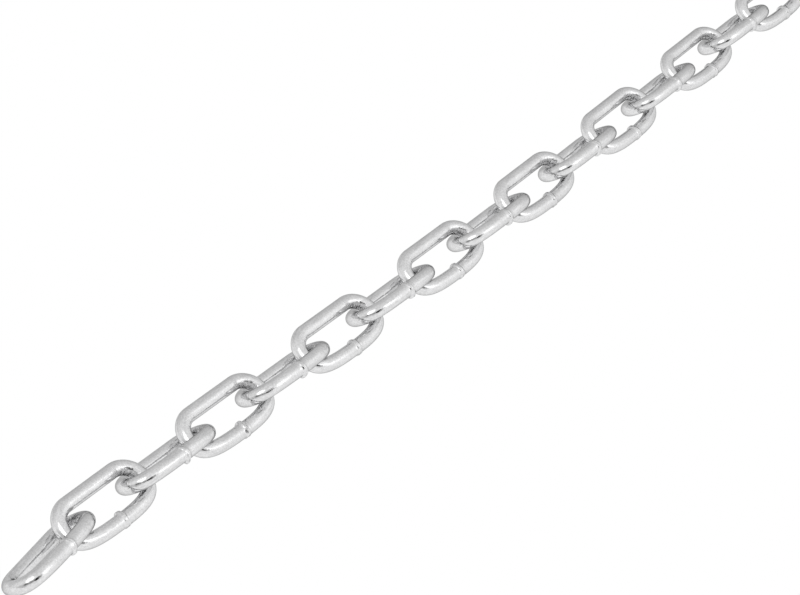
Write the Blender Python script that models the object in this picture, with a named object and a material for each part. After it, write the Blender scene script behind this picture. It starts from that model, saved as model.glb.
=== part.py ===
"""One metre of welded steel link chain, lying on level ground.

Every link is one piece of round wire, bent into a long loop and butt-welded in the middle of one side.
The links hang in each other and lean alternately to the left and to the right, as a chain does when it is
laid down: one set rests on its weld beads, the other on its straight backs.

Units are metres. The chain runs along X, and the ground is the plane Z = 0.
"""

import math

import bpy
from mathutils import Matrix, Vector
from mathutils.geometry import interpolate_bezier

# Driving dimensions of a link. Offsets are from the link's long axis to the middle of the wire.
WIRE = 0.0040
INSIDE_LENGTH = 0.0239
BACK_OFFSET = 0.00565
BACK_CORNER = 0.00565
WELD_OFFSET = 0.00565
WELD_SHIFT = 0.0011

# The welded side is one smooth sweep from each end's tip to the weld. These place its two handles: the first is
# this far from the tip towards the welded side, the second is level with the weld and this far from the end.
TIP_PULL = 0.0050
SWEEP_REACH = 0.0048

# The weld bead, a low collar round the wire that stands proud mostly on the inside of the link
BEAD_RADIUS = 0.00227
BEAD_CREST = 0.0012
BEAD_LENGTH = 0.0021
BEAD_RISE = 0.0002

# The chain as it lies. Play is the gap along the chain between two links' wires where they hook together.
LINKS = 42
PLAY = 0.0012
LEAN_ON_WELD = math.radians(32.3)
SWAY = math.radians(1.25)
SWAY_LENGTH = 0.360
SWAY_START = 0.181

# The near end link lies loose: pushed in, swung round and a little aside
END_LINK_PLAY = 0.0023
END_LINK_SWING = math.radians(10.3)
END_LINK_ASIDE = 0.0008

# The link that the others are hinged from, link by link, towards both ends
HELD_LINK = 22

# How finely the round shapes are cut. A half step at either side of a tip puts a flat there.
CORNER_STEPS = 4.5
SWEEP_STEPS = 7
WIRE_SIDES = 10

# From a link's middle to the middle of the wire at either end
WIRE_RADIUS = WIRE / 2
CROWN = (INSIDE_LENGTH + WIRE) / 2


def back_corner(side):
    """Centreline from the back round an end to just before its tip, as (x, y). side is +1 at the far end."""
    points = []
    for step in range(math.ceil(CORNER_STEPS)):
        angle = math.pi / 2 * (1 - step / CORNER_STEPS)
        points.append((
            side * (CROWN - BACK_CORNER + BACK_CORNER * math.cos(angle)),
            BACK_OFFSET - BACK_CORNER + BACK_CORNER * math.sin(angle),
        ))
    return points


def welded_sweep(side):
    """Centreline from just after an end's tip to just before the weld, as (x, y)."""
    tip = Vector((side * CROWN, BACK_OFFSET - BACK_CORNER))
    weld = Vector((WELD_SHIFT, -WELD_OFFSET))
    pulls = tip - Vector((0, TIP_PULL)), Vector((side * (CROWN - SWEEP_REACH), -WELD_OFFSET))
    halves = interpolate_bezier(tip, *pulls, weld, 2 * SWEEP_STEPS + 1)
    return [tuple(point) for point in halves[1::2]]


def weld_bead():
    """Centreline through the weld as (x, y, wire radius)."""
    return [
        (WELD_SHIFT + BEAD_LENGTH / 2, -WELD_OFFSET, WIRE_RADIUS),
        (WELD_SHIFT + BEAD_CREST / 2, BEAD_RISE - WELD_OFFSET, BEAD_RADIUS),
        (WELD_SHIFT - BEAD_CREST / 2, BEAD_RISE - WELD_OFFSET, BEAD_RADIUS),
        (WELD_SHIFT - BEAD_LENGTH / 2, -WELD_OFFSET, WIRE_RADIUS),
    ]


def link_centreline():
    """The whole loop, starting at the back: far end, welded side, near end."""
    far = [(x, y, WIRE_RADIUS) for x, y in back_corner(1) + welded_sweep(1)]
    near = [(x, y, WIRE_RADIUS) for x, y in back_corner(-1) + welded_sweep(-1)]
    return far + weld_bead() + near[::-1]


def link_mesh():
    """One link round its own middle, with its straight back towards +Y."""
    corner = math.pi / WIRE_SIDES
    section_area = WIRE_SIDES * math.sin(corner) * math.cos(corner)
    curve = bpy.data.curves.new("link", "CURVE")
    curve.dimensions = "3D"
    curve.twist_mode = "Z_UP"
    curve.bevel_depth = WIRE_RADIUS * math.sqrt(math.pi / section_area)
    curve.bevel_resolution = WIRE_SIDES // 2 - 2
    points = link_centreline()
    spline = curve.splines.new("POLY")
    spline.points.add(len(points) - 1)
    for point, (x, y, radius) in zip(spline.points, points):
        point.co = (x, y, 0, 1)
        point.radius = radius / WIRE_RADIUS
        point.tilt = corner
    spline.use_cyclic_u = True

    bent_wire = bpy.data.objects.new("link", curve)
    bpy.context.scene.collection.objects.link(bent_wire)
    graph = bpy.context.evaluated_depsgraph_get()
    mesh = bpy.data.meshes.new_from_object(bent_wire.evaluated_get(graph))
    bpy.data.objects.remove(bent_wire)
    mesh.shade_smooth()
    mesh.set_sharp_from_angle(angle=math.radians(60))
    return mesh


def zinc_plating():
    material = bpy.data.materials.new("zinc_plating")
    material.use_nodes = True
    shader = material.node_tree.nodes["Principled BSDF"]
    shader.inputs["Base Color"].default_value = (0.72, 0.72, 0.72, 1)
    shader.inputs["Metallic"].default_value = 1
    shader.inputs["Roughness"].default_value = 0.22
    return material


def reach_below(mesh, lean):
    """How far a link at this lean reaches below its long axis."""
    return max(-(Matrix.Rotation(lean, 3, "X") @ vertex.co).z for vertex in mesh.vertices)


def lean_on_back(mesh):
    """The lean that lays a link's back on the ground while its axis is as high as that of a link on its weld."""
    height = reach_below(mesh, LEAN_ON_WELD)
    flattest, steepest = 0, math.pi / 3
    for _ in range(30):
        lean = (flattest + steepest) / 2
        if reach_below(mesh, -lean) < height:
            flattest = lean
        else:
            steepest = lean
    return lean


def lay_links(mesh, collection):
    """Lays the links end to end, each leaning the other way from the one before.

    Each link has an empty at its pivot, the middle of the bar where it hooks the next link towards the held one.
    """
    laid_chain = bpy.data.objects.new("laid_chain", None)
    collection.objects.link(laid_chain)
    leans = (-lean_on_back(mesh), LEAN_ON_WELD)
    crown = Vector((0, 0, reach_below(mesh, LEAN_ON_WELD)))
    for index in range(LINKS):
        turn = SWAY * math.sin(2 * math.pi * (crown.x - SWAY_START) / SWAY_LENGTH)
        play = PLAY
        if index == 0:
            turn += END_LINK_SWING
        if index == 1:
            play = END_LINK_PLAY
            crown.y -= END_LINK_ASIDE
        middle = CROWN - WIRE - play
        far_crown = crown + Matrix.Rotation(turn, 3, "Z") @ Vector((middle + CROWN, 0, 0))
        hooked_ahead = index + 1 < HELD_LINK
        pivot = bpy.data.objects.new(f"pivot_{index + 1:02d}", None)
        pivot.parent = laid_chain
        pivot.location = far_crown if hooked_ahead else crown
        pivot.rotation_euler = (leans[index % 2], 0, turn)
        link = bpy.data.objects.new(f"link_{index + 1:02d}", mesh)
        link.parent = pivot
        link.location.x = -CROWN if hooked_ahead else middle
        for thing in (pivot, link):
            collection.objects.link(thing)
        crown = far_crown
    return laid_chain


def centre_on_ground(laid_chain):
    """Moves the chain so that its box has the middle of its underside at the origin."""
    bpy.context.view_layer.update()
    links = [thing for thing in laid_chain.children_recursive if thing.type == "MESH"]
    corners = [link.matrix_world @ vertex.co for link in links for vertex in link.data.vertices]
    lows = [min(corner[axis] for corner in corners) for axis in range(3)]
    highs = [max(corner[axis] for corner in corners) for axis in range(3)]
    laid_chain.location = (-(lows[0] + highs[0]) / 2, -(lows[1] + highs[1]) / 2, -lows[2])


def steel_link_chain():
    for thing in list(bpy.data.objects):
        bpy.data.objects.remove(thing)
    collection = bpy.data.collections.new("steel_link_chain")
    bpy.context.scene.collection.children.link(collection)
    mesh = link_mesh()
    mesh.materials.append(zinc_plating())
    centre_on_ground(lay_links(mesh, collection))


steel_link_chain()
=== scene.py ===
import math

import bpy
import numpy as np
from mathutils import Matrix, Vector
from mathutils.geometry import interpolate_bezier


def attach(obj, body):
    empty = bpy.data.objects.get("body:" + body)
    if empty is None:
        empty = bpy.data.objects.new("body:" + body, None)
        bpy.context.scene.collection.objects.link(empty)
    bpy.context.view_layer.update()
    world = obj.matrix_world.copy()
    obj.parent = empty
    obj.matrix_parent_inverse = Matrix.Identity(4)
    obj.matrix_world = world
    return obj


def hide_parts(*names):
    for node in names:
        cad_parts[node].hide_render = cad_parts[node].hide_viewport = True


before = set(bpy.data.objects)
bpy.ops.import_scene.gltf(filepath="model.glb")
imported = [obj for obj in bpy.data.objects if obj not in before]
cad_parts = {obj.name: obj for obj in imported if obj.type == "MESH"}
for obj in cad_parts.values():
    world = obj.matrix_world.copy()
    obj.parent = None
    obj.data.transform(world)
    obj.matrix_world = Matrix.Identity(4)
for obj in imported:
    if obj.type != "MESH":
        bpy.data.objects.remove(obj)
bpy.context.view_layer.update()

# %% [markdown]
# # One metre of welded steel chain
# The frame holds 42 closed loops of ten-sided wire, already laid out and hinged to each other.
# This lesson gives every loop its real skin: round drawn wire, a butt weld in the middle of one side, and
# bright zinc plating. The loops could be drawn again from nothing, but then they would have to be fitted to
# the frame. It is safer to measure where each loop of the frame lies and to put its skin exactly there.

MM = 0.001
links = sorted(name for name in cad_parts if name.startswith("link_"))
print(len(links), "links in the frame")

# %% [markdown]
# ## The size of a link
# A link is one piece of round wire. Its back is straight, and a quarter circle takes it round to the tip of
# each end. From there the welded side sweeps back in one smooth arch, lowest at the weld. These are the sizes
# that the chain is made to, so the skin and the frame agree. Offsets are from the link's long axis to the middle
# of the wire, and the weld lies a little off the middle of its side, towards the far end.

# %% Sizes in millimetres
WIRE = 4.0
INSIDE_LENGTH = 23.9
BACK_OFFSET = 5.65
WELD_OFFSET = 5.65
WELD_SHIFT = 1.1
TIP_PULL = 5.0
SWEEP_REACH = 4.8
CROWN = (INSIDE_LENGTH + WIRE) / 2
print("outside length", INSIDE_LENGTH + 2 * WIRE, "mm, outside width", BACK_OFFSET + WELD_OFFSET + WIRE, "mm")

# %% [markdown]
# ## Where each link lies
# A flat loop of wire spreads least across its own plane, so that direction is found from its points alone,
# as the weakest of their three main directions. The long axis is level, because the chain lies on the ground,
# and square to that. The middle is halfway between the two ends, and a known distance in from the back.
# Reading the hinges would do as well, but the two end links have a hinge at one end only.

# %% Measuring the frame's links
# From the middle of the frame's ten-sided wire to its flats, in millimetres
FLAT_OF_THE_FRAME_WIRE = 1.9666


def place_of(link):
    """The matrix that takes a link's own millimetres to the place where it lies, in metres."""
    points = np.array([vertex.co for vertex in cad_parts[link].data.vertices], float)
    middle = (points.min(0) + points.max(0)) / 2
    across = Vector(np.linalg.svd(points - points.mean(0), full_matrices=False)[2][2])
    if across.z < 0:
        across = -across
    along = Vector((0, 0, 1)).cross(across).normalized()
    if along.x < 0:
        along = -along
    towards_back = across.cross(along)
    reach = [(points - middle) @ np.array(axis) for axis in (along, towards_back, across)]
    halfway = [(values.max() + values.min()) / 2 for values in reach]
    halfway[1] = reach[1].max() - (BACK_OFFSET + FLAT_OF_THE_FRAME_WIRE) * MM
    origin = Vector(middle) + along * halfway[0] + towards_back * halfway[1] + across * halfway[2]
    turned = Matrix((along, towards_back, across)).transposed().to_4x4()
    return Matrix.Translation(origin) @ turned @ Matrix.Scale(MM, 4)


places = {link: place_of(link) for link in links}
for link in links[:3]:
    print(link, "middle at", [round(value / MM, 2) for value in places[link].translation], "mm")

# %% [markdown]
# ## The line of the wire
# Bending pins turn the wire at both ends, and the press that closes the gap for the weld draws that side into
# its arch. The line is an arc and a smooth curve at each end, sampled closely where it bends and at the weld,
# and widely where it is straight, so that the points go where the eye would see a corner.

# %% The centreline of a link
BEND_STEPS = 26
BACK_SAMPLES = 14
WELD_REACH, WELD_SAMPLES = 3, 55
LEAST_SPACING = 0.06


def end_of_link(side):
    """Points (x, y) from the back round one end and up to the weld. side is 1 at the far end and -1 at the near."""
    arc = []
    for angle in np.linspace(math.pi / 2, 0, BEND_STEPS):
        arc.append((side * (CROWN - BACK_OFFSET + BACK_OFFSET * math.cos(angle)), BACK_OFFSET * math.sin(angle)))
    tip, weld = Vector((side * CROWN, 0)), Vector((WELD_SHIFT, -WELD_OFFSET))
    pulls = Vector((side * CROWN, -TIP_PULL)), Vector((side * (CROWN - SWEEP_REACH), -WELD_OFFSET))
    sweep = interpolate_bezier(tip, *pulls, weld, 2 * BEND_STEPS)
    return arc + [tuple(point) for point in sweep[1:]]


def centreline():
    """The closed line of the wire as rows (x, y), with the distance of each point from the weld."""
    far, near = end_of_link(1), end_of_link(-1)
    closed = np.array(far + near[-2::-1] + far[:1])
    lengths = np.r_[0, np.cumsum(np.hypot(*np.diff(closed, axis=0).T))]
    at_weld = lengths[len(far) - 1]
    close_up = at_weld + np.linspace(-WELD_REACH, WELD_REACH, WELD_SAMPLES)
    back = np.linspace(lengths[-2], lengths[-1], BACK_SAMPLES)
    samples = np.unique(np.round(np.r_[lengths, close_up, back], 3))
    keep = np.r_[True, np.diff(samples) > LEAST_SPACING]
    samples = samples[keep & (samples < lengths[-1] - LEAST_SPACING)]
    points = np.stack([np.interp(samples, lengths, closed[:, axis]) for axis in (0, 1)], 1)
    return points, samples - at_weld


line, from_weld = centreline()
print(len(line), "points along the wire, from", round(from_weld.min(), 1), "to", round(from_weld.max(), 1), "mm")

# %% [markdown]
# ## Steps and humps
# A weld could be sculpted once and copied, but no two come out alike. So its form is written as heights over the
# plain wire, made up of two simple forms: a soft step and a round hump.

# %% Two simple forms
def step(value, low, high):
    """Rises smoothly from 0 to 1 as value goes from low to high."""
    share = np.clip((value - low) / (high - low), 0, 1)
    return share * share * (3 - 2 * share)


def hump(value, middle, width, power=2):
    """1 at the middle and falling to nothing on both sides. A higher power makes it flatter and steeper."""
    return np.exp(-(np.abs((value - middle) / width) ** power))


print("halfway up a step:", step(0.5, 0, 1), "and a full width from a hump's middle:", hump(1, 0, 1).round(2))

# %% [markdown]
# ## The butt weld
# The ends of the wire are pressed together while they glow, so metal is squeezed out into a collar. A trimming
# tool takes most of it off on the outside. A bulge stays underneath, and a blunt nub on the inside, where the tool
# doesn't reach. The collar has a shallow groove along its crest. On the upper face it sits a little askew, with its
# steeper edge towards the near end. Each link has six numbers of luck, which change these heights and move the lumps.
#
# A place on the wire is told by two numbers: its distance from the weld in millimetres, which grows towards the
# near end, and its turn round the wire in radians. Turn 0 faces out of the link, half a turn faces into it, and the
# turns above 0 lie on its upper face.

# %% Collar and nub
# The turns in the middle of the two faces, as the trimming tool leaves them
UPPER_FACE, UNDER_FACE = 1.2, -1.5
# Distances from the weld between which a form rises on the far side and falls on the near side
COLLAR_RISES, COLLAR_FALLS = (-1.1, -0.45), (0.15, 0.9)
NUB_RISES, NUB_FALLS = (-0.75, -0.35), (0.35, 1.0)
# The least height of a form in millimetres, and what luck can add to it
COLLAR, BULGE, NUB = (0.14, 0.05), (0.46, 0.16), (0.30, 0.18)


def height(form, luck):
    least, more = form
    return least + more * luck


def collar(distance, turn, luck):
    """How far the collar and its bulge stand proud of the plain wire, in millimetres."""
    phase = 6 * luck
    waver = 0.14 * np.sin(2 * turn + phase[0]) + 0.10 * np.sin(3 * turn + phase[1])
    waver = waver + 0.35 * hump(turn, UPPER_FACE, 1.0)
    profile = step(distance, COLLAR_RISES[0] + waver, COLLAR_RISES[1] + waver)
    profile = profile * (1 - step(distance, COLLAR_FALLS[0] + waver, COLLAR_FALLS[1]))
    profile = profile - 0.22 * hump(distance, -0.15 + waver, 0.16)
    lumps = 0.05 * np.sin(3 * turn + phase[3]) * np.sin(4.0 * distance + phase[4])
    lumps = lumps + 0.035 * np.sin(6 * turn - phase[1]) * np.sin(5.5 * distance + phase[0])
    bulge = height(BULGE, luck[4]) * hump(turn, UNDER_FACE, 0.8)
    return profile * (height(COLLAR, luck[2]) + lumps + bulge)


def nub(distance, turn, luck):
    """How far the nub stands proud of the plain wire on the inside of the link, in millimetres."""
    inside = hump(np.abs(turn), math.pi, 0.62, 3)
    lean = 0.25 * (luck[3] - 0.3)
    profile = step(distance, *NUB_RISES) - step(distance, NUB_FALLS[0] + lean, NUB_FALLS[1] + lean)
    return height(NUB, luck[5]) * inside * profile


print("a nub stands", nub(0, math.pi, np.zeros(6)).round(2), "to", nub(0, math.pi, np.ones(6)).round(2), "mm proud")

# %% [markdown]
# ## Open pores
# Now and then a bubble in the weld stays open on the upper face. It could be cut
# out with a boolean, but a dent in the radius is enough for a hole only a millimetre wide. Four links have one, and
# the finish paints shade into it.

# %% Pores
# How many millimetres deep the pore of a link is
OPEN_PORES = {"link_04": 0.45, "link_17": 0.3, "link_29": 0.35, "link_38": 0.4}
# Where a pore lies, its radius in millimetres, and how many times longer it is round the wire than along it
PORE_TURN, PORE_DISTANCE = 1.05, 0.6
PORE_RADIUS, PORE_SLENDERNESS = 0.5, 1.4


def pore_share(distance, turn):
    """1 in the middle of an open pore and 0 away from it. It is a little longer round the wire than along it."""
    around, along = (turn - PORE_TURN) * WIRE / 2, (distance - PORE_DISTANCE) * PORE_SLENDERNESS
    return hump(np.hypot(around, along), 0, PORE_RADIUS, 4)


print("pores", min(OPEN_PORES.values()), "to", max(OPEN_PORES.values()), "mm deep in", ", ".join(OPEN_PORES))

# %% [markdown]
# ## The thickness of the wire
# Every other link of the laid chain lies on its weld. There the bulge ends in a flat that faces the ground, as if it
# had worn level, and the skin stands on the ground as the frame does. Limiting the radius gives that flat and keeps
# the points in their rings.

# %% The radius of the skin
SIDES = 48
# The turn that faces the ground, and how far the flat lies from the middle of the wire, in millimetres. Beyond a
# cosine of LEAST_FACING the flat is so far round the wire that it has nothing to cut.
GROUND_TURN, GROUND_FLAT = -1.01, 2.16
LEAST_FACING = 0.2


def wire_radius(distance, turn, luck, pore, on_weld):
    """Radius of the skin at each distance from the weld and each turn round the wire, in millimetres."""
    radius = WIRE / 2 + collar(distance, turn, luck) + nub(distance, turn, luck)
    if on_weld:
        radius = np.minimum(radius, GROUND_FLAT / np.maximum(np.cos(turn - GROUND_TURN), LEAST_FACING))
    return radius - pore * pore_share(distance, turn)


turns = np.linspace(-math.pi, math.pi, SIDES, endpoint=False)
average = wire_radius(from_weld[:, None], turns[None, :], np.full(6, 0.5), 0, False)
print("an average link's skin is", average.min().round(2), "to", average.max().round(2), "mm from the wire's middle")

# %% [markdown]
# ## Facts for the finish
# The finish isn't the same everywhere: it is rougher at the weld and inside the bends, has painted shade darkening an
# open pore, and has draw marks that run along the wire. So each point of the skin keeps how much it belongs to each of
# these, and its place on the wire as if the wire were straight. Such masks could be painted by hand, but they would
# take 42 paintings.

# %% What each point knows
# The middle of the rough weld, and the millimetres from there to where it is still full and to where it is gone
ROUGH_WELD, ROUGH_WELD_FULL, ROUGH_WELD_GONE = -0.1, 0.8, 1.5
# Millimetres from the tip of the centreline to where a bend starts and where it is full, and cosines of the turns
# between which the inside of the link is reached
BEND_STARTS, BEND_FULL = 6.5, 3.0
INSIDE_STARTS, INSIDE_FULL = -0.1, 0.7
# The links are cut from one long wire, so each has its own stretch of this many millimetres of draw marks
LONG_WIRE = 400

near_weld = step(-np.abs(from_weld - ROUGH_WELD), -ROUGH_WELD_GONE, -ROUGH_WELD_FULL)
bent = step(np.abs(line[:, 0]), CROWN - BEND_STARTS, CROWN - BEND_FULL)
in_bend = bent[:, None] * step(-np.cos(turns), INSIDE_STARTS, INSIDE_FULL)


def keep_facts(mesh, luck, pore):
    """Stores what each point knows in the mesh's attributes, where the finish can read it."""
    # The pore mask carries the painted shade that darkens an open pore in the finish
    pore_shade_mask = (pore > 0) * pore_share(from_weld[:, None], turns[None, :])
    facts = {"near_weld": np.repeat(near_weld, SIDES), "in_bend": in_bend.ravel(), "pore_shade_mask": pore_shade_mask.ravel()}
    for fact, values in facts.items():
        mesh.attributes.new(fact, "FLOAT", "POINT").data.foreach_set("value", values.astype(np.float32))
    straight = (from_weld[:, None] + LONG_WIRE * luck[0], np.cos(turns) * WIRE / 2, np.sin(turns) * WIRE / 2)
    unrolled = np.stack(np.broadcast_arrays(*straight), 2)
    on_wire = mesh.attributes.new("on_wire", "FLOAT_VECTOR", "POINT")
    on_wire.data.foreach_set("vector", unrolled.ravel().astype(np.float32))


print("rings at the weld:", (near_weld > 0).sum(), "and in the bends:", (bent > 0).sum(), "of", len(line))

# %% [markdown]
# ## The skin of a link
# Rings of points follow the line of the wire, each square to it, and are joined into one closed tube. A curve with
# a bevel makes such a tube too, but its radius is the same all round, and the weld needs its own at every turn.

# %% Rings and faces
def rings_of_points(radius):
    """The points of the tube, ring by ring, in the link's own millimetres."""
    ahead = np.roll(line, -1, 0) - line
    behind = line - np.roll(line, 1, 0)
    tangent = ahead / np.hypot(*ahead.T)[:, None] + behind / np.hypot(*behind.T)[:, None]
    tangent /= np.hypot(*tangent.T)[:, None]
    outward = np.stack([-tangent[:, 1], tangent[:, 0]], 1)
    spread = outward[:, None, :] * (radius * np.cos(turns))[:, :, None]
    return np.concatenate([line[:, None, :] + spread, (radius * np.sin(turns))[:, :, None]], 2)


def tube_faces():
    """Quads between neighbouring rings, and from the last ring back to the first."""
    quads = []
    for ring in range(len(line)):
        here, ahead = ring * SIDES, (ring + 1) % len(line) * SIDES
        for side in range(SIDES):
            beside = (side + 1) % SIDES
            quads.append((here + side, here + beside, ahead + beside, ahead + side))
    return quads


faces = tube_faces()
print(len(faces), "faces round each link")

# %% [markdown]
# ## 42 skins
# Each link draws its luck in turn from one seeded row, so the chain comes out the same every time. Even links are
# the ones that lie on their welds.

# %% The skins
def skin_mesh(link, luck):
    pore = OPEN_PORES.get(link, 0)
    lies_on_weld = int(link[-2:]) % 2 == 0
    radius = wire_radius(from_weld[:, None], turns[None, :], luck, pore, lies_on_weld)
    mesh = bpy.data.meshes.new(link + "_skin")
    mesh.from_pydata(rings_of_points(radius).reshape(-1, 3).tolist(), [], faces)
    keep_facts(mesh, luck, pore)
    mesh.transform(places[link])
    mesh.shade_smooth()
    return mesh


chance = np.random.default_rng(42)
skins = {}
for link in links:
    skins[link] = bpy.data.objects.new(link + "_skin", skin_mesh(link, chance.random(6)))
    bpy.context.scene.collection.objects.link(skins[link])
print(len(skins), "skins,", len(skins[links[0]].data.polygons) * 2, "triangles each")

# %% [markdown]
# ## Shader sums
# A finish is worked out from many small sums. Written as nodes they fill a screen, so one small class lets
# them be written as Python: it holds a node's output, and each operator adds the node that does the sum.

# %% A class for node sums
class Shade:
    """An output of a node tree. Sums on it add nodes to the tree."""

    def __init__(self, tree, socket=None):
        self.tree, self.socket = tree, socket

    def node(self, kind, settings=None, sockets=None, out=0):
        """Adds a node: first its settings, then the values or links of its sockets. Gives one output."""
        made = self.tree.nodes.new(kind)
        for name, value in (settings or {}).items():
            setattr(made, name, value)
        for name, value in (sockets or {}).items():
            if isinstance(value, Shade):
                self.tree.links.new(value.socket, made.inputs[name])
            else:
                made.inputs[name].default_value = value
        return Shade(self.tree, made.outputs[out] if len(made.outputs) else None)

    def sum(self, operation, first, second):
        return self.node("ShaderNodeMath", {"operation": operation}, {0: first, 1: second})

    def __add__(self, other):
        return self.sum("ADD", self, other)

    def __sub__(self, other):
        return self.sum("SUBTRACT", self, other)

    def __rsub__(self, other):
        return self.sum("SUBTRACT", other, self)

    def __mul__(self, other):
        return self.sum("MULTIPLY", self, other)

    __radd__ = __add__
    __rmul__ = __mul__


def empty_tree(owner):
    """Clears the nodes of a material or a world, and gives a Shade to add the new ones with."""
    owner.use_nodes = True
    owner.node_tree.nodes.clear()
    return Shade(owner.node_tree)


print("sums that become nodes:", ", ".join(name for name in vars(Shade) if name.endswith(("add__", "sub__", "mul__"))))

# %% [markdown]
# ## Bright zinc plating
# Electroplated zinc is a thin bright metal skin on drawn wire. It isn't a mirror: the die leaves faint marks that
# run along the wire, the acid bath leaves a fine orange peel, and the zinc is a little cloudy, so reflections
# keep their shape but have uneven edges. Inside the bends, where the pins pressed and the links rub, the surface
# is lumpy and breaks reflections up into spots. The weld is lumpy too, and a little duller. The marks follow the
# wire's own coordinates, the clouds don't. The tint that metal takes at a grazing angle is grey, which draws the
# thin dark edge that bright zinc has.

# %% The zinc
# The scale of the clouds is per metre of the room, the others are per millimetre of the wire
CLOUD_SCALE, MARK_SCALE, LUMP_SCALE, PEEL_SCALE = 220.0, 1.6, 0.8, 2.4
# Draw marks are eight times longer along the wire than round it
ALONG_THE_WIRE = (0.12, 1, 1)
PLAIN_GREY, TOUCH_OF_BLUE, PLAIN_ROUGHNESS = 0.36, 1.005, 0.04
EDGE_TINT = (0.48, 0.48, 0.48, 1)
BUMP_STRENGTH, BUMP_METRES = 0.75, 0.0001


def zinc_plating():
    material = bpy.data.materials.new("bright_zinc")
    start = empty_tree(material)
    place = start.node("ShaderNodeTexCoord", out="Object")
    weld = start.node("ShaderNodeAttribute", {"attribute_name": "near_weld"}, out="Fac")
    bend = start.node("ShaderNodeAttribute", {"attribute_name": "in_bend"}, out="Fac")
    painted_pore_shade = start.node("ShaderNodeAttribute", {"attribute_name": "pore_shade_mask"}, out="Fac")
    wire = start.node("ShaderNodeAttribute", {"attribute_name": "on_wire"}, out="Vector")
    stretched = start.node("ShaderNodeVectorMath", {"operation": "MULTIPLY"}, {0: wire, 1: ALONG_THE_WIRE}, "Vector")

    def speckle(where, scale, detail):
        return start.node("ShaderNodeTexNoise", None, {"Vector": where, "Scale": scale, "Detail": detail}, "Fac")

    clouds = speckle(place, CLOUD_SCALE, 3.0)
    draw_marks = speckle(stretched, MARK_SCALE, 3.0)
    lumps = speckle(wire, LUMP_SCALE, 2.0)
    peel = speckle(wire, PEEL_SCALE, 2.0)
    rough_patch = bend * 1.3 + weld * 0.6
    # Where a pore is open, the grey is darkened as painted shade in the hole
    grey = PLAIN_GREY + 0.10 * clouds + 0.23 * draw_marks + 0.42 * peel - 0.60 * painted_pore_shade
    colour = start.node(
        "ShaderNodeCombineColor", None, {"Red": grey, "Green": grey, "Blue": grey * TOUCH_OF_BLUE})
    roughness = PLAIN_ROUGHNESS + 0.10 * clouds + 0.05 * weld + 0.03 * bend
    relief = draw_marks * 0.5 + peel * 0.35 + lumps * 0.4 + lumps * rough_patch * 1.5 + peel * weld * 0.4
    bump = start.node(
        "ShaderNodeBump", None, {"Height": relief, "Strength": BUMP_STRENGTH, "Distance": BUMP_METRES})
    shader = start.node("ShaderNodeBsdfPrincipled", None, {
        "Base Color": colour, "Metallic": 1.0, "Roughness": roughness, "Normal": bump,
        "Specular Tint": EDGE_TINT})
    start.node("ShaderNodeOutputMaterial", None, {"Surface": shader})
    return material


zinc = zinc_plating()
print("the zinc takes", len(zinc.node_tree.nodes), "nodes")

# %% [markdown]
# ## Into the bath
# A chain is plated in one piece, so all links share one finish. Each skin stands for its link of the frame, which
# hides that link, takes the zinc finish, and moves with the link's body when the chain swings.

# %% Plating the links
for link, skin in skins.items():
    skin.data.materials.append(zinc)
    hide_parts(link)
    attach(skin, link)
print("plated", len(skins), "links")

# %% [markdown]
# ## The table
# Small bright goods are photographed on a glowing white table, so that no shadow falls on it. A lit floor would
# need many lamps to be as even, so it is one wide sheet that gives off light itself, and lights the chain from below.

# %% Glowing table
TABLE_REACH = 4


def plain_table():
    corners = [(x * TABLE_REACH, y * TABLE_REACH, 0) for x, y in ((-1, -1), (1, -1), (1, 1), (-1, 1))]
    mesh = bpy.data.meshes.new("table")
    mesh.from_pydata(corners, [], [(0, 1, 2, 3)])
    table = bpy.data.objects.new("table", mesh)
    bpy.context.scene.collection.objects.link(table)
    material = bpy.data.materials.new("glowing_sheet")
    start = empty_tree(material)
    glow = start.node("ShaderNodeEmission", None, {"Color": (1, 1, 1, 1), "Strength": 1.0})
    start.node("ShaderNodeOutputMaterial", None, {"Surface": glow})
    mesh.materials.append(material)


plain_table()
print("a table of", 2 * TABLE_REACH, "by", 2 * TABLE_REACH, "metres")

# %% [markdown]
# ## The tent
# A white tent round the table lets bright metal reflect light from nearly everywhere. Here it is the world, where a
# patch can fade as softly as cloth does, which lamps don't. The cloth is greyer beyond the chain. Light comes
# through it on the camera's right and from above the camera. It is darker low down on the camera's left, and darkest
# along the hem of the opening that the camera looks through.

# %% Patches of cloth
def patch(direction, azimuth, elevation, full, gone):
    """1 within the angle full of a direction, falling smoothly to 0 at the angle gone. All angles in degrees."""
    around, up = math.radians(azimuth), math.radians(elevation)
    middle = (math.cos(up) * math.cos(around), math.cos(up) * math.sin(around), math.sin(up))
    facing = direction.node("ShaderNodeVectorMath", {"operation": "DOT_PRODUCT"}, {0: direction, 1: middle}, "Value")
    return facing.node("ShaderNodeMapRange", {"interpolation_type": "SMOOTHSTEP"}, {
        "Value": facing, "From Min": math.cos(math.radians(gone)), "From Max": math.cos(math.radians(full))})


def rise(direction, low, high):
    """Rises smoothly from 0 to 1 between two elevations in degrees."""
    upward = direction.node("ShaderNodeSeparateXYZ", None, {"Vector": direction}, "Z")
    return upward.node("ShaderNodeMapRange", {"interpolation_type": "SMOOTHSTEP"}, {
        "Value": upward, "From Min": math.sin(math.radians(low)), "From Max": math.sin(math.radians(high))})


# Azimuth, elevation, full and gone of each patch, seen from the chain
GREY_BEYOND_THE_CHAIN = (55, 14, 20, 85)
GLOW_ON_THE_RIGHT = (-63, 23, 5, 40)
LAMP_IN_THE_GLOW = (-64, 30, 6, 14)
LAMP_ABOVE_THE_CAMERA = (-156, 58, 17, 22)
SHADE_LOW_ON_THE_LEFT = (-174, 3, 15, 38)
ROUND_THE_OPENING = (-132, 26, 30, 42)
SLIT_RIGHT_OF_THE_OPENING = (-93, 25, 10, 17)
# Elevations between which the hem sets in, and between which it ends
HEM_FOOT, HEM_TOP = (14, 20), (33, 40)
PLAIN_CLOTH, DARKEST_CLOTH = 0.91, 0.03
print("the light above the camera is", 2 * LAMP_ABOVE_THE_CAMERA[2], "degrees across")

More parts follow.
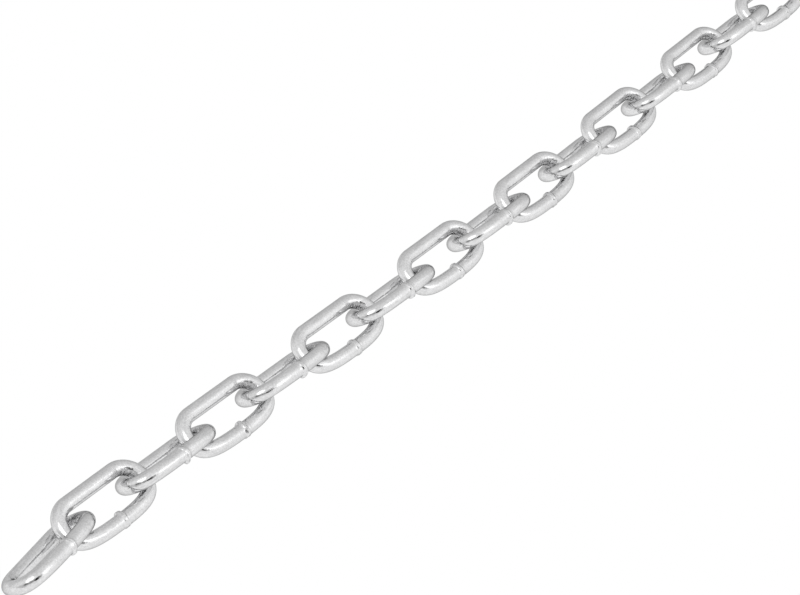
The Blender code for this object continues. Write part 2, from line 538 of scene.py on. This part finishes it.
# %% [markdown]
# ## Hanging the tent
# The patches are added up one by one, and where they would take away more light than there is, the darkest cloth
# is left.

# %% Tent
def tent():
    world = bpy.data.worlds.new("tent")
    bpy.context.scene.world = world
    direction = empty_tree(world).node("ShaderNodeTexCoord", out="Generated")
    light = PLAIN_CLOTH - 0.24 * patch(direction, *GREY_BEYOND_THE_CHAIN)
    light = light + 0.22 * patch(direction, *GLOW_ON_THE_RIGHT)
    light = light + 0.50 * patch(direction, *LAMP_IN_THE_GLOW)
    light = light + 0.80 * patch(direction, *LAMP_ABOVE_THE_CAMERA)
    light = light - 0.25 * patch(direction, *SHADE_LOW_ON_THE_LEFT)
    hem = rise(direction, *HEM_FOOT) - rise(direction, *HEM_TOP)
    light = light - 0.52 * hem * patch(direction, *ROUND_THE_OPENING)
    light = light - 0.66 * patch(direction, *SLIT_RIGHT_OF_THE_OPENING)
    light = light.node("ShaderNodeMath", {"operation": "MAXIMUM"}, {0: light, 1: DARKEST_CLOTH})
    background = light.node("ShaderNodeBackground", None, {"Color": (1, 1, 1, 1), "Strength": light})
    background.node("ShaderNodeOutputWorld", None, {"Surface": background})
    return world


print("a tent of", len(tent().node_tree.nodes), "nodes")

# %% [markdown]
# ## The camera
# A long lens from about two thirds of a metre, looking down along the chain from its near end at some thirty-five
# degrees. Its place was worked out from the outlines of the links. The Standard view shows colours as they are,
# where a filmic one would grey the bright cloth.

# %% Camera
CAMERA_AT = (-0.82720, -0.36797, 0.43001)
CAMERA_TURN = (55.4647, -0.3208, -53.5732)
SENSOR_WIDTH, FOCAL_LENGTH = 36, 125.842
NEAREST_SEEN = 0.01


def camera():
    lens = bpy.data.cameras.new("camera")
    lens.sensor_width = SENSOR_WIDTH
    lens.lens = FOCAL_LENGTH
    lens.clip_start = NEAREST_SEEN
    eye = bpy.data.objects.new("camera", lens)
    eye.location = CAMERA_AT
    eye.rotation_euler = [math.radians(angle) for angle in CAMERA_TURN]
    bpy.context.scene.collection.objects.link(eye)
    bpy.context.scene.camera = eye


camera()
bpy.context.scene.view_settings.view_transform = "Standard"
near_end = places[links[0]].translation
print("the camera is", round((Vector(CAMERA_AT) - near_end).length, 2), "m from the near end link")

# %% [markdown]
# ## Sizes
# A skin should be as large as the frame's wire, or larger by no more than a weld stands proud.
